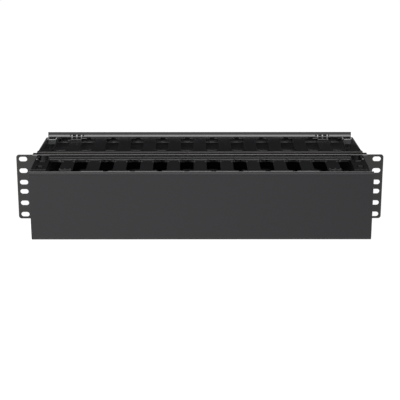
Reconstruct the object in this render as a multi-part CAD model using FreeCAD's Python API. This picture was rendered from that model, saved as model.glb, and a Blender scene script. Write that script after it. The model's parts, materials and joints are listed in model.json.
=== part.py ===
import FreeCAD, Part
import math
import os

# Two-unit front-and-rear horizontal cable manager for a 19-inch rack.
# Millimetres.  +Z up, the front cover faces -Y, the origin is the centre of
# the rack panel's front face, midway between the two columns of rack slots.

V = FreeCAD.Vector

# ---- rack interface (EIA-310, two rack units) -------------------------------
PANEL_W = 482.6          # overall width over the ears
PANEL_H = 88.1           # panel height, 2U less 0.8
PANEL_T = 1.5            # sheet thickness
SLOT_X = 232.55          # slot column to centre
SLOT_Z = (6.35, 22.225, 38.1)
SLOT_L = 10.8            # overall slot length
SLOT_H = 6.4             # slot height
EAR_R = 3.5
FLANGE_HALF = 220.0      # folded top and bottom flange, half length
FLANGE_D = 10.0
BEND_R = 2.2             # outside bend radius

# ---- pass-through openings --------------------------------------------------
PASS_X = (-164.0, -82.0, 0.0, 82.0, 164.0)
PASS_W = 60.0
PASS_H = 44.0
PASS_R = 8.0

# ---- ducts ------------------------------------------------------------------
DUCT_HALF = 213.5        # half width of the front duct
TOP = 44.0               # top of the front rim
PITCH = 34.0             # finger pitch
WIN_W = 17.5             # window between two stems
SLIT_W = 5.6             # gap between two T-heads
COMB_HALF = 197.0
CLIP_X = 170.0           # hinge clips stand on the fifth finger each side
STEM_TOP = 42.2
HEAD_TOP = 43.7
WALL = 2.2               # moulded wall thickness
WIN_R = 5.9              # window corner radius
RIM_W = 1.7              # raised bead round each window root

# front duct, distances forward of the panel face
F_RIM = 11.5
F_TREAD = 17.8
F_WIN0 = 20.5
F_WIN1 = 72.5
F_HEAD = 75.8
F_SEAT = 66.0            # where the front hinge clips sit

# rear duct, distances behind the panel face
R_PLATE = 1.5
R_RIM0 = 10.5
R_RIM1 = 18.0
R_TREAD = 23.4
R_WIN0 = 27.4
R_WIN1 = 87.4
R_HEAD = 90.6
R_SEAT = 82.0            # where the rear hinge clips sit
R_TOP = 44.9
R_HALF0 = 215.3          # half width at the rim
R_HALF1 = 212.6          # half width at the tips

# ---- covers -----------------------------------------------------------------
COVER_T = 2.0
FC_FACE = -83.5          # outer face of the front cover
FC_W = 431.0
FC_X = 1.5               # the front cover sits slightly to one side
FC_TOP = 44.9
FC_BOT = -45.0
RC_FACE = 98.5           # outer face of the rear cover
RC_W = 420.4
RC_TOP = 49.8
RC_BOT = -45.0
NOTCH = 19.0             # web left out at each clip
RIB_T = 1.4              # stiffening rib inside each cover
F_RIB_DROP = 9.2         # rib below the hinge bead
R_RIB_DROP = 7.6

# front hinge line: bead radius, clip bore, axis
F_BEAD_R = 1.4
F_JAW_R = 1.48
F_AX_Y = -77.5
F_AX_Z = 40.0
# rear hinge line
R_BEAD_R = 1.15
R_JAW_R = 1.23
R_AX_Y = 93.0
R_AX_Z = 43.9
B_AX_Z = -40.0           # lower beads of both covers

# ---- hinge clips ------------------------------------------------------------
PRONG_T = 1.8
PRONG_P = 6.6
PRONG_R = 2.9
PRONG_R_REAR = 3.2
CLIP_HALF = 7.8


# ---- small helpers ----------------------------------------------------------
def box(x0, x1, y0, y1, z0, z1):
    x0, x1 = min(x0, x1), max(x0, x1)
    y0, y1 = min(y0, y1), max(y0, y1)
    z0, z1 = min(z0, z1), max(z0, z1)
    return Part.makeBox(x1 - x0, y1 - y0, z1 - z0, V(x0, y0, z0))


def rrect_wire(x0, x1, y0, y1, r, at, plane):
    """Rounded rectangle; plane 'xy' at height z, or 'xz' at depth y."""
    x0, x1 = min(x0, x1), max(x0, x1)
    y0, y1 = min(y0, y1), max(y0, y1)
    r = min(r, (x1 - x0) / 2 - 1e-3, (y1 - y0) / 2 - 1e-3)
    if plane == 'xy':
        p = lambda a, b: V(a, b, at)
    else:
        p = lambda a, b: V(a, at, b)
    k = r * (1 - math.sqrt(0.5))
    e = [
        Part.makeLine(p(x0 + r, y0), p(x1 - r, y0)),
        Part.Arc(p(x1 - r, y0), p(x1 - k, y0 + k), p(x1, y0 + r)).toShape(),
        Part.makeLine(p(x1, y0 + r), p(x1, y1 - r)),
        Part.Arc(p(x1, y1 - r), p(x1 - k, y1 - k), p(x1 - r, y1)).toShape(),
        Part.makeLine(p(x1 - r, y1), p(x0 + r, y1)),
        Part.Arc(p(x0 + r, y1), p(x0 + k, y1 - k), p(x0, y1 - r)).toShape(),
        Part.makeLine(p(x0, y1 - r), p(x0, y0 + r)),
        Part.Arc(p(x0, y0 + r), p(x0 + k, y0 + k), p(x0 + r, y0)).toShape(),
    ]
    return Part.Wire(e)


def prism_z(x0, x1, y0, y1, r, z0, z1):
    w = rrect_wire(x0, x1, y0, y1, r, min(z0, z1), 'xy')
    return Part.Face(w).extrude(V(0, 0, abs(z1 - z0)))


def prism_y(x0, x1, z0, z1, r, y0, y1):
    w = rrect_wire(x0, x1, z0, z1, r, min(y0, y1), 'xz')
    return Part.Face(w).extrude(V(0, abs(y1 - y0), 0))


def section_x(pts, x0, x1):
    """Closed polygon of (y, z) points pushed along X."""
    vs = [V(x0, a, b) for a, b in pts]
    f = Part.Face(Part.makePolygon(vs + [vs[0]]))
    return f.extrude(V(x1 - x0, 0, 0))


def plan_z(pts, z0, z1):
    vs = [V(a, b, z0) for a, b in pts]
    f = Part.Face(Part.makePolygon(vs + [vs[0]]))
    return f.extrude(V(0, 0, z1 - z0))


def cyl_x(y, z, r, x0, x1):
    return Part.makeCylinder(r, x1 - x0, V(x0, y, z), V(1, 0, 0))


def cyl_y(x, z, r, y0, y1):
    return Part.makeCylinder(r, y1 - y0, V(x, y0, z), V(0, 1, 0))


def fuse(a, *rest):
    s = a.fuse(list(rest)) if rest else a
    return s.removeSplitter()


def cut(a, tools):
    s = a.cut(Part.makeCompound(tools)) if tools else a
    return s.removeSplitter()


def mirror_z(s):
    return s.mirror(V(0, 0, 0), V(0, 0, 1))


def mirror_x(s):
    return s.mirror(V(0, 0, 0), V(1, 0, 0))


def fillet_edges(s, r, test):
    es = [e for e in s.Edges if test(e)]
    if not es:
        return s
    try:
        f = s.makeFillet(r, es)
        if f.isValid() and f.Volume > 0:
            return f
    except Exception:
        pass
    return s


def along_x(e, y, z, tol=0.02, least=1.0):
    """True for an edge parallel to X at (y, z)."""
    b = e.BoundBox
    return (b.XLength > least and b.YLength < tol and b.ZLength < tol
            and abs(b.YMin - y) < tol and abs(b.ZMin - z) < tol)


def write(shape, name):
    if isinstance(shape, list):
        shape = Part.makeCompound(shape)
    elif len(shape.Solids) == 1:
        shape = shape.Solids[0]
    shape.exportStep("parts/%s.step" % name)
    print(name, "solids", len(shape.Solids), "valid", shape.isValid(),
          "vol %.1f" % sum(q.Volume for q in shape.Solids))


# ---- rack panel: one folded steel sheet -------------------------------------
def panel():
    h = PANEL_H / 2
    face = prism_y(-PANEL_W / 2, PANEL_W / 2, -h, h, EAR_R, 0, PANEL_T)
    # folded flanges, top and bottom, shorter than the face
    prof = []
    r = BEND_R
    ri = BEND_R - PANEL_T
    for i in range(0, 9):
        a = math.radians(180 - i * 90 / 8)
        prof.append((r + r * math.cos(a), h - r + r * math.sin(a)))
    prof.append((FLANGE_D, h))
    prof.append((FLANGE_D, h - PANEL_T))
    for i in range(0, 9):
        a = math.radians(90 + i * 90 / 8)
        prof.append((r + ri * math.cos(a), h - r + ri * math.sin(a)))
    prof.append((PANEL_T, h - 12))
    prof.append((0, h - 12))
    # trim the square edge of the face where it folds
    trim = box(-FLANGE_HALF, FLANGE_HALF, -1, PANEL_T + 1, h - 12, h + 1)
    face = face.cut([trim, mirror_z(trim)])
    fl = section_x(prof, -FLANGE_HALF, FLANGE_HALF)
    s = face.fuse([fl, mirror_z(fl)])
    tools = []
    for sx in (-1, 1):
        for z in SLOT_Z:
            for sz in (-1, 1):
                c = sx * SLOT_X
                tools.append(prism_y(c - SLOT_L / 2, c + SLOT_L / 2,
                                     sz * z - SLOT_H / 2, sz * z + SLOT_H / 2,
                                     SLOT_H / 2, -2, PANEL_T + 2))
    for x in PASS_X:
        tools.append(prism_y(x - PASS_W / 2 - 1, x + PASS_W / 2 + 1,
                             -PASS_H / 2 - 1, PASS_H / 2 + 1, PASS_R + 1,
                             -2, PANEL_T + 2))
    for x, z in screw_places():
        tools.append(cyl_y(x, z, 2.2, -2, PANEL_T + 2))
    return cut(s, tools)


def screw_places():
    return [(x, z) for x in (-205.0, -123.0, -41.0, 41.0, 123.0, 205.0)
            for z in (-15.0, 15.0)]


# ---- moulded base of the front duct -----------------------------------------
GROOVE0 = 41.2
GROOVE1 = 42.4


def front_base():
    plate = box(-DUCT_HALF, DUCT_HALF, -2.5, 0, -TOP, TOP)
    rim = box(-DUCT_HALF, DUCT_HALF, -F_RIM, -2.4, 39.6, TOP)
    s = fuse(plate, rim, mirror_z(rim))
    for sz in (1, -1):
        s = fillet_edges(s, 0.6, lambda e: along_x(e, -F_RIM, sz * TOP))
    # collars that guard the cables at each opening
    for x in PASS_X:
        s = s.fuse(prism_y(x - PASS_W / 2 - 2.4, x + PASS_W / 2 + 2.4,
                           -PASS_H / 2 - 2.4, PASS_H / 2 + 2.4, PASS_R + 2.4,
                           -6.5, -2.4))
    s = s.removeSplitter()
    s = fillet_edges(s, 1.0, lambda e: abs(e.BoundBox.YMin + 6.5) < 0.02
                     and e.BoundBox.YLength < 0.02)
    tools = []
    for x in PASS_X:
        tools.append(prism_y(x - PASS_W / 2, x + PASS_W / 2,
                             -PASS_H / 2, PASS_H / 2, PASS_R, -9, 1))
    g = box(-DUCT_HALF - 1, DUCT_HALF + 1, -F_RIM - 1, -8.4, GROOVE0, GROOVE1)
    tools += [g, mirror_z(g)]
    # the rim is left out beside the combs, as a deep pocket
    for sx in (-1, 1):
        k = box(sx * (COMB_HALF + 0.3), sx * 209.6, -2.5, -F_RIM - 1, 36, 45)
        tools += [k, mirror_z(k)]
    for x, z in screw_places():
        tools.append(cyl_y(x, z, 2.15, -4, 1))
    return cut(s, tools)


# ---- moulded base of the rear duct ------------------------------------------
def rear_base():
    inner = PANEL_H / 2 - PANEL_T - 0.8
    plate = box(-214.3, 214.3, R_PLATE, R_PLATE + 2.5, -inner, inner)
    tuck = box(-214.3, 214.3, R_PLATE + 2.4, R_RIM0 + 1, 38.6, inner)
    rim = box(-R_HALF0, R_HALF0, R_RIM0, R_RIM1, 38.6, R_TOP)
    s = fuse(plate, tuck, rim, mirror_z(tuck), mirror_z(rim))
    for sz in (1, -1):
        s = fillet_edges(s, 0.8, lambda e: along_x(e, R_RIM0, sz * R_TOP)
                         or along_x(e, R_RIM1, sz * R_TOP))
    y1 = R_PLATE + 2.5
    for x in PASS_X:
        s = s.fuse(prism_y(x - PASS_W / 2 - 2.4, x + PASS_W / 2 + 2.4,
                           -PASS_H / 2 - 2.4, PASS_H / 2 + 2.4, PASS_R + 2.4,
                           y1 - 0.1, y1 + 4))
    s = s.removeSplitter()
    s = fillet_edges(s, 1.0, lambda e: abs(e.BoundBox.YMin - y1 - 4) < 0.02
                     and e.BoundBox.YLength < 0.02)
    tools = []
    for x in PASS_X:
        tools.append(prism_y(x - PASS_W / 2, x + PASS_W / 2,
                             -PASS_H / 2, PASS_H / 2, PASS_R, 0, 12))
    g = box(-R_HALF0 - 1, R_HALF0 + 1, R_RIM1 - 3.1, R_RIM1 + 1,
            GROOVE0, GROOVE1)
    tools += [g, mirror_z(g)]
    for x, z in screw_places():
        tools.append(cyl_y(x, z, 2.15, 0, 6))
    return cut(s, tools)


# ---- finger combs -----------------------------------------------------------
def finger_centres():
    return [k * PITCH for k in range(-4, 5)]


def root_bead(x0, x1, sgn, win0):
    """Raised round bead that follows the root of one window."""
    Y = lambda d: sgn * d
    ring = prism_z(x0 - RIM_W, x1 + RIM_W, Y(win0 - RIM_W), Y(win0 + 22),
                   WIN_R + RIM_W, STEM_TOP - 0.4, 43.1)
    ring = ring.cut([prism_z(x0, x1, Y(win0), Y(win0 + 30), WIN_R, 40, 45),
                     box(x0 - 5, x1 + 5, Y(win0 + 6.5), Y(win0 + 40), 40, 45)])
    return fillet_edges(ring, 0.75, lambda e: e.BoundBox.ZLength < 0.01
                        and abs(e.BoundBox.ZMin - 43.1) < 0.01)


def comb(sgn, rim, tread, win0, win1, head, seat):
    """Upper comb.  sgn is -1 for the front duct and +1 for the rear one;
    the distances are measured from the panel face."""
    Y = lambda d: sgn * d
    # rail that sits against the rim, stepped down to the stems
    rail = box(-COMB_HALF, COMB_HALF, Y(rim + 0.05), Y(win0),
               STEM_TOP - WALL, 43.0)
    step = box(-COMB_HALF - 1, COMB_HALF + 1, Y(tread), Y(win0 + 1),
               STEM_TOP, 44)
    rail = rail.cut(step)
    tongue = box(-COMB_HALF, COMB_HALF, Y(rim - 2.9), Y(rim + 0.5),
                 GROOVE0 + 0.1, GROOVE1 - 0.1)
    # nine T-headed fingers, rising gently from root to tip
    edge = 4 * PITCH + (PITCH - SLIT_W) / 2
    plate = section_x([(Y(win0 - 1), STEM_TOP), (Y(head), HEAD_TOP),
                       (Y(head), HEAD_TOP - 2.0),
                       (Y(win0 - 1), STEM_TOP - WALL)], -edge, edge)
    s = rail.fuse([tongue, plate])
    # the outermost fingers are flat and carry the hinge clips
    stem = (PITCH - WIN_W) / 2
    for q in (-1, 1):
        s = s.fuse([
            box(q * (edge - 1), q * (CLIP_X + stem), Y(win0 - 1),
                Y(seat - 3.5), STEM_TOP - WALL, STEM_TOP),
            box(q * CLIP_X - 6, q * CLIP_X + 6, Y(seat - 4), Y(seat + 2.5),
                STEM_TOP - WALL, STEM_TOP),
            box(q * (CLIP_X + stem - 1), q * (CLIP_X + stem + 7),
                Y(win0 - 1), Y(win0 + 7), STEM_TOP - WALL, STEM_TOP)])
    tools = []
    for k in range(-5, 5):
        c = (k + 0.5) * PITCH
        tools.append(prism_z(c - WIN_W / 2, c + WIN_W / 2, Y(win0),
                             Y(win1), WIN_R, 30, 50))
        # slit that lets a cable drop in from above
        tools.append(box(c - SLIT_W / 2, c + SLIT_W / 2, Y(win1 - 1.5),
                         Y(head + 5), 30, 50))
    for q in (-1, 1):
        # open window between the last finger and the end bracket
        tools.append(prism_z(q * (CLIP_X + stem), q * (CLIP_X + stem + 30),
                             Y(win0), Y(head + 20), WIN_R, 30, 50))
        # nothing past the clip fingers beside the last slit
        tools.append(box(q * edge, q * (CLIP_X - stem), Y(seat - 8),
                         Y(head + 5), 30, 50))
    s = cut(s, tools)
    # rounded tips, so that cables slide over them
    s = fillet_edges(s, 0.9, lambda e: e.BoundBox.ZLength < 0.01
                     and abs(e.BoundBox.ZMin - HEAD_TOP) < 0.01
                     and abs(e.BoundBox.YMin - Y(head)) < 0.01
                     and abs(e.BoundBox.YMax - Y(head)) < 0.01)
    beads = [root_bead((k + 0.5) * PITCH - WIN_W / 2,
                       (k + 0.5) * PITCH + WIN_W / 2, sgn, win0)
             for k in range(-5, 5)]
    for q in (-1, 1):
        a, b = sorted((q * (CLIP_X + stem), q * 194.2))
        bead = root_bead(a, b, sgn, win0)
        far = box(q * 190.0, q * 200.0, Y(win0 + 0.6), Y(win0 + 9), 40, 45)
        beads.append(bead.cut(far))
    s = s.fuse(beads)
    return s.removeSplitter()


def front_comb_top():
    return comb(-1, F_RIM, F_TREAD, F_WIN0, F_WIN1, F_HEAD, F_SEAT)


def rear_comb_top():
    return comb(1, R_RIM1, R_TREAD, R_WIN0, R_WIN1, R_HEAD, R_SEAT)


# ---- end brackets -----------------------------------------------------------
def corner(x, y, sgn, r, z0, z1, start):
    """Concave corner piece between a wall at x and the window root at y."""
    Y = lambda d: sgn * d
    blk = box(x - r, x + 0.4, Y(y + start), Y(y + r), z0, z1)
    return blk.cut(Part.makeCylinder(r, z1 - z0 + 2,
                                     V(x - r, Y(y + r), z0 - 1)))


def front_bracket_right():
    x0, x1 = 194.2, DUCT_HALF
    Y = lambda d: -d
    limb = prism_z(x0, x1, Y(F_RIM + 0.05), Y(F_HEAD), 1.6, 41.0, TOP)
    relief = box(x0 - 1, COMB_HALF + 0.3, Y(F_RIM - 1), Y(F_WIN0 + 0.9), 38, 46)
    limb = limb.cut(relief)
    limb = limb.cut(box(180, 220, Y(69.0), Y(F_HEAD + 1), 43.2, 46))
    head = prism_z(190.6, 198.0, Y(F_WIN1 - 0.6), Y(F_HEAD), 1.6,
                   41.0, 43.2)
    limb = limb.fuse([head, corner(x0, F_WIN0, -1, 5.0, 41.0, 43.0, 0.9)])
    # deep pocket beside the comb, then two shallow steps
    p0 = prism_z(197.3, 209.0, Y(F_RIM - 3), Y(25.8), 1.6, 36, 46)
    p1 = prism_z(198.4, 209.0, Y(28.4), Y(66.0), 2.6, 43.1, 46)
    p2 = prism_z(199.6, 208.2, Y(48.6), Y(65.2), 2.2, 41.9, 46)
    limb = limb.cut([p0, p1, p2])
    boss = Part.makeCylinder(1.45, 3.5, V(211.2, Y(21.5), 41.2))
    boss = fillet_edges(boss, 1.0, lambda e: e.BoundBox.ZLength < 0.01
                        and abs(e.BoundBox.ZMin - 44.7) < 0.01)
    tongue = box(209.8, x1 - 0.8, Y(8.6), Y(F_RIM + 0.6), 41.6, 42.3)
    top = limb.fuse([tongue, boss])
    bot = mirror_z(top)
    # side web that ties the two limbs together just ahead of the base
    web = box(x1 - 2.8, x1 - 0.8, Y(20.0), Y(F_RIM + 0.05), -42.0, 42.0)
    gus = section_x([(Y(19.0), 41.2), (Y(30.0), 41.2), (Y(20.0), 33.0),
                     (Y(19.0), 33.0)], x1 - 2.8, x1 - 0.8)
    return fuse(top, bot, web, gus, mirror_z(gus))


def rear_bracket_right():
    Y = lambda d: d
    x0 = 194.2
    yt = R_HEAD
    # tapered limb
    pts = [(COMB_HALF + 0.3, R_RIM1 + 0.05), (R_HALF0, R_RIM1 + 0.05),
           (R_HALF1, yt - 1.5), (R_HALF1 - 1.5, yt), (x0 + 1.5, yt),
           (x0, yt - 1.5), (x0, R_WIN0 + 1.0), (COMB_HALF + 0.3, R_WIN0 + 1.0)]
    limb = plan_z(pts, 41.0, TOP)
    limb = fillet_edges(limb, 1.3, lambda e: e.BoundBox.ZLength < 0.01
                        and abs(e.BoundBox.ZMin - TOP) < 0.01
                        and e.BoundBox.XMin > 212
                        and e.BoundBox.YLength > 20)
    head = prism_z(190.6, 196.0, R_WIN1 - 0.4, R_HEAD, 1.4, 41.0, 43.3)
    # skirt under the long window, deeper along the outside
    sk = prism_z(195.0, 211.2, R_WIN0 + 1.0, 83.6, 2.2, 37.0, 41.2)
    out = plan_z([(208.8, R_RIM1 + 0.05), (R_HALF0 - 0.9, R_RIM1 + 0.05),
                  (R_HALF1 - 0.7, 89.2), (208.8, 89.2)], 25.0, 41.2)
    limb = limb.fuse([head, sk, out, corner(x0, R_WIN0, 1, 5.0, 41.0, 43.0, 1.0)])
    win = prism_z(196.4, 209.6, 30.6, 80.0, 3.4, 20, 48)
    limb = limb.cut(win)
    # open channel behind the cross bar, between two rounded cheeks
    chan = box(198.4, 207.9, 79.0, 95, 42.0, 48)
    limb = limb.cut(chan)
    adds = []
    for a, b in ((196.7, 198.4), (207.9, 209.6)):
        chk = section_x([(80.0, 41.5), (80.0, 43.6), (82.2, 45.0),
                         (88.6, 45.0), (90.4, 43.6), (90.4, 41.5)], a, b)
        chk = fillet_edges(chk, 0.6, lambda e: e.BoundBox.XLength < 0.01
                           and e.BoundBox.ZMin > 43)
        adds.append(chk)
    bar = box(197.2, 208.8, 80.0, 82.8, 37.0, 44.0)
    bar = fillet_edges(bar, 1.3, lambda e: e.BoundBox.XLength > 5
                       and abs(e.BoundBox.ZMin - 44.0) < 0.01)
    limb = limb.fuse(adds + [bar])
    tongue = box(COMB_HALF + 1.0, R_HALF0 - 0.9, R_RIM1 - 2.9, R_RIM1 + 0.6,
                 41.6, 42.3)
    top = limb.fuse(tongue)
    bot = mirror_z(top)
    web = box(R_HALF0 - 4.2, R_HALF0 - 2.0, R_RIM1 + 0.05, 26.0, -42.0, 42.0)
    return fuse(top, bot, web)


# ---- hinge clips ------------------------------------------------------------
def clip(sgn, seat, ax_y, ax_z, c, ring_r, jaw_r, mouth, hump):
    """Three-pronged clip pushed onto a stem, upper position."""
    Y = lambda d: sgn * d
    b0 = seat - 3.2
    b1 = seat + 5.0
    body = prism_z(c - CLIP_HALF, c + CLIP_HALF, Y(b0), Y(b1), 0.8,
                   38.2, 43.9)
    body = fillet_edges(body, 0.7, lambda e: e.BoundBox.ZLength < 0.01
                        and abs(e.BoundBox.ZMin - 43.9) < 0.01)
    pocket = box(c - 6.1, c + 6.1, Y(b0 - 1), Y(seat + 2.8),
                 STEM_TOP - WALL, STEM_TOP)
    s = body.cut(pocket)
    adds = []
    tools = []
    for k in (-1, 0, 1):
        x0 = c + k * PRONG_P - PRONG_T / 2
        x1 = x0 + PRONG_T
        ring = cyl_x(ax_y, ax_z, ring_r, x0, x1)
        back = box(x0, x1, Y(b1 - 1), ax_y, max(38.2, ax_z - ring_r),
                   min(43.9, ax_z + ring_r))
        adds += [ring, back]
        if hump:
            hp = box(x0, x1, Y(b0 + 2.2), Y(b1 - 0.3), 42.8, 45.1)
            adds.append(fillet_edges(hp, 0.8, lambda e: e.BoundBox.XLength > 1
                                     and e.BoundBox.ZMin > 45))
        tools.append(cyl_x(ax_y, ax_z, jaw_r, x0 - 1, x1 + 1))
        # mouth of the jaw faces away from the duct
        tools.append(box(x0 - 1, x1 + 1, ax_y, ax_y + sgn * 5,
                         ax_z - mouth, ax_z + mouth))
    if not hump:
        # arm that carries the head line on towards the slit
        q = 1 if c > 0 else -1
        a = c - q * (CLIP_HALF - 0.5)
        b = c - q * (PITCH - SLIT_W) / 2
        arm = box(a, b, Y(b1 - 2.6), Y(b1 + 0.4), 41.4, 44.3)
        arm = fillet_edges(arm, 1.1, lambda e: e.BoundBox.XLength > 3
                           and e.BoundBox.ZMin > 44.2)
        lug = box(c + q * (CLIP_HALF - 0.5), c + q * (CLIP_HALF + 3.6),
                  Y(b0 + 0.4), Y(b0 + 3.2), 39.6, 43.0)
        lug = fillet_edges(lug, 0.9, lambda e: e.BoundBox.XLength > 3
                           and e.BoundBox.ZMin > 42.9)
        adds += [arm, lug]
    s = s.fuse(adds)
    s = s.cut(tools)
    return s.removeSplitter()


# ---- covers -----------------------------------------------------------------
def cover(sgn, face, w, xc, top, bot, clips, ax_y, ax_top, ax_bot, bead_r,
          rib_drop, lean, inset):
    """One extrusion: crowned face, and along each long edge a slanted web
    with a bead, and a stiffening rib."""
    f = face
    i = face - sgn * COVER_T
    o = lambda d: f - sgn * d        # d inwards from the outer face

    def edge(e, q, k):
        # outer line near one long edge, q = +1 top, -1 bottom
        return [(o(0.0), e - q * 7.0), (o(0.12 * k), e - q * 4.6),
                (o(0.45 * k), e - q * 2.6), (o(0.95 * k), e - q * 1.2),
                (o(1.35 * k), e - q * 0.45), (o(1.75 * k), e)]

    up = edge(top, 1, 0.55 if lean else 1.0)
    dn = edge(bot, -1, 1.0)
    pts = up
    if lean:
        pts += [(i + sgn * lean, top), (i, top - 3.7)]
    else:
        pts += [(i, top)]
    pts += [(i, bot)] + dn[::-1]
    s = section_x(pts, xc - w / 2, xc + w / 2)
    a, b = xc - w / 2 + inset, xc + w / 2 - inset
    for az, q in ((ax_top, 1), (ax_bot, -1)):
        bead = cyl_x(ax_y, az, bead_r, a, b)
        # the web slopes down from the face to the bead
        rise = 2.2 if (lean and q > 0) else 0.7
        web = section_x([(i + sgn * 0.3, az + q * rise),
                         (i - sgn * 0.0, az + q * rise),
                         (ax_y + sgn * bead_r * 0.85, az + q * 0.55),
                         (ax_y, az + q * 0.5), (ax_y, az - q * 0.7),
                         (i + sgn * 0.3, az - q * 0.7)], a, b)
        gaps = [box(c - NOTCH / 2, c + NOTCH / 2, i, ax_y - sgn * 0.1,
                    az - 2.4, az + 2.4) for c in clips]
        web = web.cut(gaps)
        zr = az - q * rib_drop
        yr = i - sgn * 3.4
        rib = box(a, b, i + sgn * 0.3, yr, zr - RIB_T / 2, zr + RIB_T / 2)
        tip = cyl_x(yr, zr, RIB_T / 2, a, b)
        s = s.fuse([web, bead, rib, tip])
    return s.removeSplitter()


# ---- fasteners --------------------------------------------------------------
def screws():
    out = []
    for x, z in screw_places():
        head = cyl_y(x, z, 3.9, -4.9, -2.5)
        head = fillet_edges(head, 1.2, lambda e: abs(e.BoundBox.YMax + 4.9)
                            < 0.01 and e.BoundBox.YLength < 0.01)
        s = head.fuse(cyl_y(x, z, 2.0, -2.6, 8.4))
        cr = [box(x - 2.1, x + 2.1, -5.5, -3.7, z - 0.45, z + 0.45),
              box(x - 0.45, x + 0.45, -5.5, -3.7, z - 2.1, z + 2.1)]
        out.append(s.cut(cr).removeSplitter())
    return out


def nuts():
    out = []
    for x, z in screw_places():
        pts = [V(x + 4.04 * math.cos(math.radians(60 * k + 30)), 4.0,
                 z + 4.04 * math.sin(math.radians(60 * k + 30)))
               for k in range(6)]
        hx = Part.Face(Part.makePolygon(pts + [pts[0]])).extrude(V(0, 3.2, 0))
        out.append(hx.cut(cyl_y(x, z, 2.03, 3, 9)))
    return out


# ---- build ------------------------------------------------------------------
os.makedirs("parts", exist_ok=True)

write(panel(), "rack_panel")
write(front_base(), "front_duct_base")
write(rear_base(), "rear_duct_base")

fct = front_comb_top()
write(fct, "front_finger_comb_top")
write(mirror_z(fct), "front_finger_comb_bottom")
rct = rear_comb_top()
write(rct, "rear_finger_comb_top")
write(mirror_z(rct), "rear_finger_comb_bottom")

fb = front_bracket_right()
write(fb, "front_end_bracket_right")
write(mirror_x(fb), "front_end_bracket_left")
rb = rear_bracket_right()
write(rb, "rear_end_bracket_right")
write(mirror_x(rb), "rear_end_bracket_left")

for side, cx in (("left", -CLIP_X), ("right", CLIP_X)):
    write(clip(-1, F_SEAT, F_AX_Y, F_AX_Z, cx, PRONG_R, F_JAW_R, 1.15, True),
          "front_hinge_clip_top_" + side)
    write(mirror_z(clip(-1, F_SEAT, F_AX_Y, -B_AX_Z, cx, PRONG_R, F_JAW_R,
                        1.85, True)),
          "front_hinge_clip_bottom_" + side)
    write(clip(1, R_SEAT, R_AX_Y, R_AX_Z, cx, PRONG_R_REAR, R_JAW_R, 0.9,
               False),
          "rear_hinge_clip_top_" + side)
    write(mirror_z(clip(1, R_SEAT, R_AX_Y, -B_AX_Z, cx, PRONG_R_REAR, R_JAW_R,
                        1.6, False)),
          "rear_hinge_clip_bottom_" + side)

CL = (-CLIP_X, CLIP_X)
write(cover(-1, FC_FACE, FC_W, FC_X, FC_TOP, FC_BOT, CL, F_AX_Y, F_AX_Z,
            B_AX_Z, F_BEAD_R, F_RIB_DROP, 0.0, 3.0),
      "front_cover")
write(cover(1, RC_FACE, RC_W, 0.0, RC_TOP, RC_BOT, CL, R_AX_Y, R_AX_Z,
            B_AX_Z, R_BEAD_R, R_RIB_DROP, 0.8, 0.6),
      "rear_cover")

write(screws(), "base_screws")
write(nuts(), "base_nuts")
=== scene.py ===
import bpy, bmesh, json, math
from mathutils import Vector, Matrix
from mathutils.bvhtree import BVHTree


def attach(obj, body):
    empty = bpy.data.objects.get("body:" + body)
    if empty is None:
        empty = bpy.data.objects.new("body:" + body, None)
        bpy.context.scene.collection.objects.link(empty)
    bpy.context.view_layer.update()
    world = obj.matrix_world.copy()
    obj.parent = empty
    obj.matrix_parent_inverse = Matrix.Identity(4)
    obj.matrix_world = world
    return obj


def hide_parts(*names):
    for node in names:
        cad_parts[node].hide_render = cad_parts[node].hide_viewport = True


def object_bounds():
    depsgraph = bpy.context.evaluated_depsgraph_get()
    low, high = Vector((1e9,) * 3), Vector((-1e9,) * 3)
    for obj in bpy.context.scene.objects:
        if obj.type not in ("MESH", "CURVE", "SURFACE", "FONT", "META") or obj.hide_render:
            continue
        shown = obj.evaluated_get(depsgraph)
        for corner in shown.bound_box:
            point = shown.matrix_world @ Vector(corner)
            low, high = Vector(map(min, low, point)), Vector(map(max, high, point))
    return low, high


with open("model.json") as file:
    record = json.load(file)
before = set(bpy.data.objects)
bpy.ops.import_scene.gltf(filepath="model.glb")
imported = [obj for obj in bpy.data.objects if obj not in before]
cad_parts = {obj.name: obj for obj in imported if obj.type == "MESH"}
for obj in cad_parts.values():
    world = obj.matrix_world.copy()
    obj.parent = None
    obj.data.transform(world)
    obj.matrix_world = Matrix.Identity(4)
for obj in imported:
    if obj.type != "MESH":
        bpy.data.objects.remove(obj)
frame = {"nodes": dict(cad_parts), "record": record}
CAD_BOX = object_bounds()
NODES = frame["nodes"]
scene = bpy.context.scene


def mm(*v):
    return tuple(a / 1000.0 for a in v)


# ---------------------------------------------------------------- materials
def new_mat(name):
    m = bpy.data.materials.new(name)
    m.use_nodes = True
    nt = m.node_tree
    nt.nodes.clear()
    out = nt.nodes.new("ShaderNodeOutputMaterial")
    b = nt.nodes.new("ShaderNodeBsdfPrincipled")
    nt.links.new(b.outputs[0], out.inputs["Surface"])
    tc = nt.nodes.new("ShaderNodeTexCoord")
    return m, nt, b, tc


def mapped(nt, tc, scale):
    mp = nt.nodes.new("ShaderNodeMapping")
    mp.inputs["Scale"].default_value = scale
    nt.links.new(tc.outputs["Object"], mp.inputs["Vector"])
    return mp.outputs[0]


def noise(nt, vec, scale, detail=3.0, rough=0.55):
    n = nt.nodes.new("ShaderNodeTexNoise")
    n.inputs["Scale"].default_value = scale
    n.inputs["Detail"].default_value = detail
    n.inputs["Roughness"].default_value = rough
    nt.links.new(vec, n.inputs["Vector"])
    return n.outputs["Fac"]


def ramp(nt, fac, stops):
    r = nt.nodes.new("ShaderNodeValToRGB")
    el = r.color_ramp.elements
    while len(el) > 1:
        el.remove(el[-1])
    el[0].position = stops[0][0]
    el[0].color = (*stops[0][1], 1)
    for p, c in stops[1:]:
        e = el.new(p)
        e.color = (*c, 1)
    nt.links.new(fac, r.inputs["Fac"])
    return r.outputs["Color"]


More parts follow.
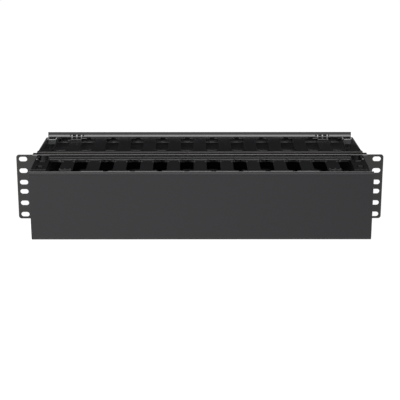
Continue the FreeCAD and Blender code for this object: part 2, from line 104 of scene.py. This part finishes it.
def scalar(nt, fac, lo, hi, a=0.0, b=1.0):
    r = nt.nodes.new("ShaderNodeMapRange")
    r.inputs["From Min"].default_value = a
    r.inputs["From Max"].default_value = b
    r.inputs["To Min"].default_value = lo
    r.inputs["To Max"].default_value = hi
    nt.links.new(fac, r.inputs["Value"])
    return r.outputs[0]


def bump(nt, bsdf, height, strength, dist, prev=None):
    b = nt.nodes.new("ShaderNodeBump")
    b.inputs["Strength"].default_value = strength
    b.inputs["Distance"].default_value = dist
    nt.links.new(height, b.inputs["Height"])
    if prev is not None:
        nt.links.new(prev, b.inputs["Normal"])
    nt.links.new(b.outputs[0], bsdf.inputs["Normal"])
    return b.outputs[0]


def masked(nt, color, attribute, colour, vec, lo=0.35, hi=0.65, scale=60):
    """Mix a second colour in where a face mask says so, in soft patches."""
    g = nt.nodes.new("ShaderNodeAttribute")
    g.attribute_name = attribute
    patch = scalar(nt, noise(nt, vec, scale, 3), 0.1 if lo < 0.5 else 0.8, 0.9 if lo < 0.5 else 1.0,
                   lo, hi)
    mul = nt.nodes.new("ShaderNodeMath")
    mul.operation = "MULTIPLY"
    nt.links.new(g.outputs["Fac"], mul.inputs[0])
    nt.links.new(patch, mul.inputs[1])
    mix = nt.nodes.new("ShaderNodeMix")
    mix.data_type = "RGBA"
    nt.links.new(mul.outputs[0], mix.inputs["Factor"])
    nt.links.new(color, mix.inputs[6])
    mix.inputs[7].default_value = (*colour, 1)
    return mix.outputs[2]


def painted_edge_highlight(nt, color, highlight_colour, vec):
    """Painted highlight: rounded edges made a little lighter, in patches."""
    return masked(nt, color, "edge_highlight", highlight_colour, vec)


def painted_light_patches(nt, color, vec, glint_colour=(0.085, 0.085, 0.088)):
    """Painted light: inner duct walls made paler, and painted highlights on prongs and latches."""
    # paler inner duct walls: painted light falling inside the ducts
    col = masked(nt, color, "inner_wall_light", (0.031, 0.031, 0.033), vec, 0.51, 0.9, 12)
    # bright patches on prongs and latches: painted highlights
    return masked(nt, col, "painted_glint", glint_colour, vec, 0.51, 0.9, 140)


def powder_coat():
    m, nt, b, tc = new_mat("powder_coat_black")
    v = mapped(nt, tc, (1, 1, 1))
    fine = noise(nt, v, 1500, 2)
    cloud = noise(nt, v, 14, 3)
    col = ramp(nt, cloud, [(0.30, (0.0040, 0.0029, 0.0022)), (0.70, (0.0052, 0.0040, 0.0032))])
    # lighter rounded edges: painted highlight
    nt.links.new(painted_edge_highlight(nt, col, (0.016, 0.015, 0.015), v), b.inputs["Base Color"])
    nt.links.new(scalar(nt, fine, 0.13, 0.18, 0.3, 0.7), b.inputs["Roughness"])
    bump(nt, b, fine, 0.05, 0.00005)
    b.inputs["Specular IOR Level"].default_value = 0.54
    return m


def moulded(name, lo, hi, r0, r1, grain=900, strength=0.12, glint_colour=(0.085, 0.085, 0.088)):
    """Black injection-moulded plastic: spark-eroded skin, faint flow clouds."""
    m, nt, b, tc = new_mat(name)
    v = mapped(nt, tc, (1, 1, 1))
    fine = noise(nt, v, grain, 2)
    cloud = noise(nt, v, 22, 3)
    col = ramp(nt, cloud, [(0.3, lo), (0.7, hi)])
    # lighter rounded edges: painted highlight
    col = painted_edge_highlight(nt, col, (0.010, 0.010, 0.0105), v)
    # paler inner walls and bright prong and latch patches: painted light
    nt.links.new(painted_light_patches(nt, col, v, glint_colour), b.inputs["Base Color"])
    nt.links.new(scalar(nt, cloud, r0, r1, 0.3, 0.7), b.inputs["Roughness"])
    bump(nt, b, fine, strength, 0.00008)
    b.inputs["Specular IOR Level"].default_value = 0.36
    return m


def extruded():
    """Cover plastic: even satin skin with faint lengthwise draw lines."""
    m, nt, b, tc = new_mat("cover_satin_black")
    v = mapped(nt, tc, (0.6, 40, 420))
    lines = noise(nt, v, 4.0, 2)
    v2 = mapped(nt, tc, (1, 1, 1))
    fine = noise(nt, v2, 1100, 2)
    cloud = noise(nt, v2, 6, 2)
    col = ramp(nt, cloud, [(0.3, (0.0024, 0.0021, 0.0038)), (0.7, (0.0032, 0.0029, 0.0048))])
    # lighter rounded edges: painted highlight
    col = painted_edge_highlight(nt, col, (0.009, 0.009, 0.010), v2)
    # paler inner walls and bright prong and latch patches: painted light
    nt.links.new(painted_light_patches(nt, col, v2), b.inputs["Base Color"])
    nt.links.new(scalar(nt, lines, 0.19, 0.24, 0.3, 0.7), b.inputs["Roughness"])
    n1 = bump(nt, b, fine, 0.05, 0.00005)
    bump(nt, b, lines, 0.03, 0.00006, n1)
    b.inputs["Specular IOR Level"].default_value = 0.475
    return m


def zinc():
    m, nt, b, tc = new_mat("black_zinc")
    v = mapped(nt, tc, (1, 1, 1))
    n = noise(nt, v, 400, 3)
    nt.links.new(ramp(nt, n, [(0.3, (0.05, 0.05, 0.052)), (0.7, (0.09, 0.09, 0.092))]),
                 b.inputs["Base Color"])
    nt.links.new(scalar(nt, n, 0.28, 0.42, 0.3, 0.7), b.inputs["Roughness"])
    b.inputs["Metallic"].default_value = 0.85
    bump(nt, b, n, 0.1, 0.00005)
    return m


MAT = {
    "panel_steel": powder_coat(),
    "duct_plastic": moulded("duct_plastic_black", (0.0018, 0.0018, 0.0022), (0.0027, 0.0027, 0.0032), 0.14, 0.19, 900, 0.05),
    # clips: a brighter painted highlight on the prongs
    "clip_plastic": moulded("clip_plastic_black", (0.0018, 0.0018, 0.0022), (0.0027, 0.0027, 0.0032), 0.16, 0.22, 700, 0.05,
                            (0.20, 0.20, 0.205)),
    "cover_plastic": extruded(),
    "screw_steel": zinc(),
}
SLOT = {s["node"]: s["material_slot"] for s in frame["record"]["subparts"]}


# ---------------------------------------------------------------- refined meshes
def rounded(src, width, segments, least):
    """Bmesh of a node in world space with its hard edges rounded."""
    bm = bmesh.new()
    bm.from_mesh(src.data)
    bmesh.ops.transform(bm, matrix=src.matrix_world, verts=bm.verts)
    bmesh.ops.remove_doubles(bm, verts=bm.verts, dist=2e-6)
    tree = BVHTree.FromBMesh(bm)
    edge_highlight_layer = bm.faces.layers.float.new("edge_highlight")
    if width > 0:
        bmesh.ops.dissolve_limit(bm, angle_limit=math.radians(0.4), verts=bm.verts[:],
                                 edges=bm.edges[:], use_dissolve_boundaries=False)
        lim = math.radians(least)
        hard = [e for e in bm.edges if len(e.link_faces) == 2 and e.calc_face_angle(0.0) > lim]
        done = bmesh.ops.bevel(bm, geom=hard, offset=width / 1000.0, offset_type="OFFSET",
                               segments=segments, profile=0.5, affect="EDGES",
                               clamp_overlap=False, miter_outer="SHARP", loop_slide=True)
        # the bevel faces carry the painted edge highlight
        for f in done["faces"]:
            f[edge_highlight_layer] = 1.0
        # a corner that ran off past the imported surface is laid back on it
        reach = (0.6 * width + 0.02) / 1000.0
        for v in bm.verts:
            loc, nor, idx, dist = tree.find_nearest(v.co)
            if dist > reach:
                v.co = loc
    bmesh.ops.triangulate(bm, faces=[f for f in bm.faces if len(f.verts) > 4])
    bmesh.ops.dissolve_degenerate(bm, dist=2e-7, edges=bm.edges[:])
    return bm, tree


def inner_wall_light(c, n):
    """How much painted light a face gets: 1 inside the rear duct, less inside the front one."""
    x, y, z = c
    if abs(n.z) > 0.5 or abs(z) > 41.9 or (abs(x) > 209.3 and n.x * x > 0):
        return 0.0
    if 3.0 < y < 97.0:
        return 1.0
    if -82.0 < y < -3.0:
        return 0.7
    return 0.0


def painted_glint(name, c, n):
    """Painted highlights: clip prongs, the latch of each rear end bracket, and a spot on each front
    end bracket.
    """
    x, y, z = c
    if "clip" in name:
        ax_y, ax_z, r = (93.0, 43.9, 3.3) if "rear" in name else (-77.5, 40.0, 3.0)
        if z < 0:
            ax_z = -40.0
        near = math.hypot(y - ax_y, z - ax_z) < r
        return 1.0 if near and abs(n.x) < 0.7 else 0.0
    if name.startswith("rear_end_bracket") and abs(z) > 36.9:
        w = abs(x)
        if 79.5 < y < 83.0 and 196.6 < w < 209.7:
            return 1.0
        if y > 79.5 and (196.6 < w < 198.5 or 207.8 < w < 209.7) and abs(z) > 42.0:
            return 1.0
        if w > 209.4 and y > 44.0 and abs(z) > 41.5 and abs(n.z) > 0.5:
            return 0.3
        if abs(w - 196.4) < 0.5 and y > 34.0 and n.x * x > 0:
            return 0.6
    if name.startswith("front_end_bracket") and abs(z) > 43.9:
        if math.hypot(abs(x) - 211.2, y + 21.5) < 1.8:
            return 1.0
    return 0.0


def faults(bm, tree, width):
    """Open edges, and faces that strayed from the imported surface."""
    bad = sum(1 for e in bm.edges if len(e.link_faces) != 2)
    reach = (width + 0.3) / 1000.0
    for f in bm.faces:
        area_mm = f.calc_area() * 1e6
        if area_mm < 2.0:
            continue
        loc, nor, idx, dist = tree.find_nearest(f.calc_center_median())
        if dist > reach:
            bad += 1
        elif area_mm > 8.0 and dist < 1e-5 and nor.dot(f.normal) < -0.2:
            bad += 1
    return bad


def refined(name, width, segments=3, least=28.0):
    """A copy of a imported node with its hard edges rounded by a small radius.
    The copy replaces the node and takes its material.  If a radius folds
    somewhere on a narrow ledge, the next smaller one is taken."""
    src = NODES[name]
    best = None
    for k in (1.0, 0.85, 0.7, 0.55, 0.4, 0.25, 0.0):
        bm, tree = rounded(src, width * k, segments, least)
        n = faults(bm, tree, width * k)
        if best is None or n < best[0]:
            if best is not None:
                best[1].free()
            best = (n, bm, width * k)
        else:
            bm.free()
        if n == 0:
            break
    n, bm, used = best
    print("refined %s: radius %.2f mm, %d faults, %d faces" % (name, used, n, len(bm.faces)))
    me = bpy.data.meshes.new("m_" + name)
    for f in bm.faces:
        f.smooth = True
    bm.to_mesh(me)
    bm.free()
    # face masks for the painted light on inner walls and the painted highlights on prongs and
    # latches
    for attr, rule in (("inner_wall_light", lambda c, nrm: inner_wall_light(c, nrm)),
                       ("painted_glint", lambda c, nrm: painted_glint(name, c, nrm))):
        layer = me.attributes.new(attr, "FLOAT", "FACE")
        for poly in me.polygons:
            layer.data[poly.index].value = rule(poly.center * 1000.0, poly.normal)
    ob = bpy.data.objects.new("v_" + name, me)
    scene.collection.objects.link(ob)
    me.materials.append(MAT[SLOT[name]])
    mod = ob.modifiers.new("wn", "WEIGHTED_NORMAL")
    mod.keep_sharp = True
    mod.weight = 80
    body = next(b for b, ns in frame["record"]["behaviour"]["bodies"].items() if name in ns)
    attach(ob, body)
    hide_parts(name)
    return ob


REFINE = {
    "rack_panel": (0.25, 3), "front_duct_base": (0.3, 3), "rear_duct_base": (0.3, 3),
    "front_finger_comb_top": (0.33, 3), "front_finger_comb_bottom": (0.33, 3),
    "rear_finger_comb_top": (0.33, 3), "rear_finger_comb_bottom": (0.33, 3),
    "front_end_bracket_left": (0.137, 3), "front_end_bracket_right": (0.137, 3),
    "rear_end_bracket_left": (0.07, 3), "rear_end_bracket_right": (0.07, 3),
    "front_cover": (0.1, 3), "rear_cover": (0.1, 3),
}
for n in NODES:
    if "hinge_clip" in n:
        REFINE[n] = (0.12, 2)
for n in NODES:
    if n in REFINE:
        refined(n, *REFINE[n])
    else:
        o = NODES[n]
        for i in range(len(o.material_slots)):
            o.material_slots[i].material = MAT[SLOT[n]]

# ---------------------------------------------------------------- floor and light
lo, hi = CAD_BOX
floor_z = lo[2] - 0.0002
bpy.ops.mesh.primitive_plane_add(size=60, location=(0, 0, floor_z))
floor = bpy.context.object
floor.name = "studio_floor"
fm, fnt, fb, ftc = new_mat("studio_white")
fb.inputs["Base Color"].default_value = (0.02, 0.02, 0.02, 1)
fb.inputs["Roughness"].default_value = 0.9
fb.inputs["Specular IOR Level"].default_value = 0.0
fb.inputs["Emission Color"].default_value = (1.0, 1.0, 1.0, 1)
# a little brighter to the left, where the studio's windows of light are nearer
fsep = fnt.nodes.new("ShaderNodeSeparateXYZ")
fnt.links.new(ftc.outputs["Object"], fsep.inputs[0])
along = scalar(fnt, fsep.outputs[0], 1.30, 0.97, -0.28, 0.28)
behind = scalar(fnt, fsep.outputs[1], 0.0, 1.0, -0.06, 0.02)
fmix = fnt.nodes.new("ShaderNodeMix")
fmix.data_type = "FLOAT"
fnt.links.new(behind, fmix.inputs["Factor"])
fnt.links.new(along, fmix.inputs[2])
fmix.inputs[3].default_value = 1.0
fnt.links.new(fmix.outputs[0], fb.inputs["Emission Strength"])
floor.data.materials.append(fm)

world = bpy.data.worlds.new("studio")
scene.world = world
world.use_nodes = True
bg = world.node_tree.nodes["Background"]
bg.inputs["Color"].default_value = (1, 1, 1, 1)
bg.inputs["Strength"].default_value = 0.038


def area(name, loc, target, size, radiance, size_y=None):
    """Softbox of a given brightness: power follows from its size."""
    d = bpy.data.lights.new(name, "AREA")
    d.shape = "RECTANGLE"
    d.size = size
    d.size_y = size_y or size
    d.energy = radiance * math.pi * d.size * d.size_y
    o = bpy.data.objects.new(name, d)
    scene.collection.objects.link(o)
    o.location = loc
    o.rotation_euler = (Vector(target) - Vector(loc)).to_track_quat("-Z", "Y").to_euler()
    return o


area("overhead", (-0.15, -0.05, 1.9), (0, 0, 0), 2.6, 6.5, 1.9)
area("front_top", (-0.7, -2.7, 1.75), (0, 0, 0), 3.6, 1.3, 1.9)
area("front_wall", (-0.6, -4.0, 0.95), (0, 0, 0.5), 6.0, 1.4, 1.6)

# ---------------------------------------------------------------- camera
PITCH, YAW, ROLL = math.radians(17.619), math.radians(0.290), math.radians(0.037)
DIST, FPX = 1.59676, 1201.73
TARGET = Vector((0.000034, 0.0, -0.018352))
cy, sy, cp, sp = math.cos(YAW), math.sin(YAW), math.cos(PITCH), math.sin(PITCH)
d = Vector((sy * cp, cy * cp, -sp))
r = Vector((cy, -sy, 0.0))
u = r.cross(d)
r2 = math.cos(ROLL) * r + math.sin(ROLL) * u
u2 = -math.sin(ROLL) * r + math.cos(ROLL) * u
cam_data = bpy.data.cameras.new("camera")
cam_data.sensor_width = 36.0
cam_data.lens = 36.0 * FPX / 400.0
cam_data.clip_start = 0.05
cam_data.clip_end = 100.0
cam = bpy.data.objects.new("camera", cam_data)
scene.collection.objects.link(cam)
M = Matrix((r2, u2, -d)).transposed().to_4x4()
M.translation = TARGET - DIST * d
cam.matrix_world = M
scene.camera = cam

scene.view_settings.view_transform = "Standard"
scene.view_settings.look = "None"
scene.view_settings.exposure = 0.0
scene.view_settings.gamma = 1.0
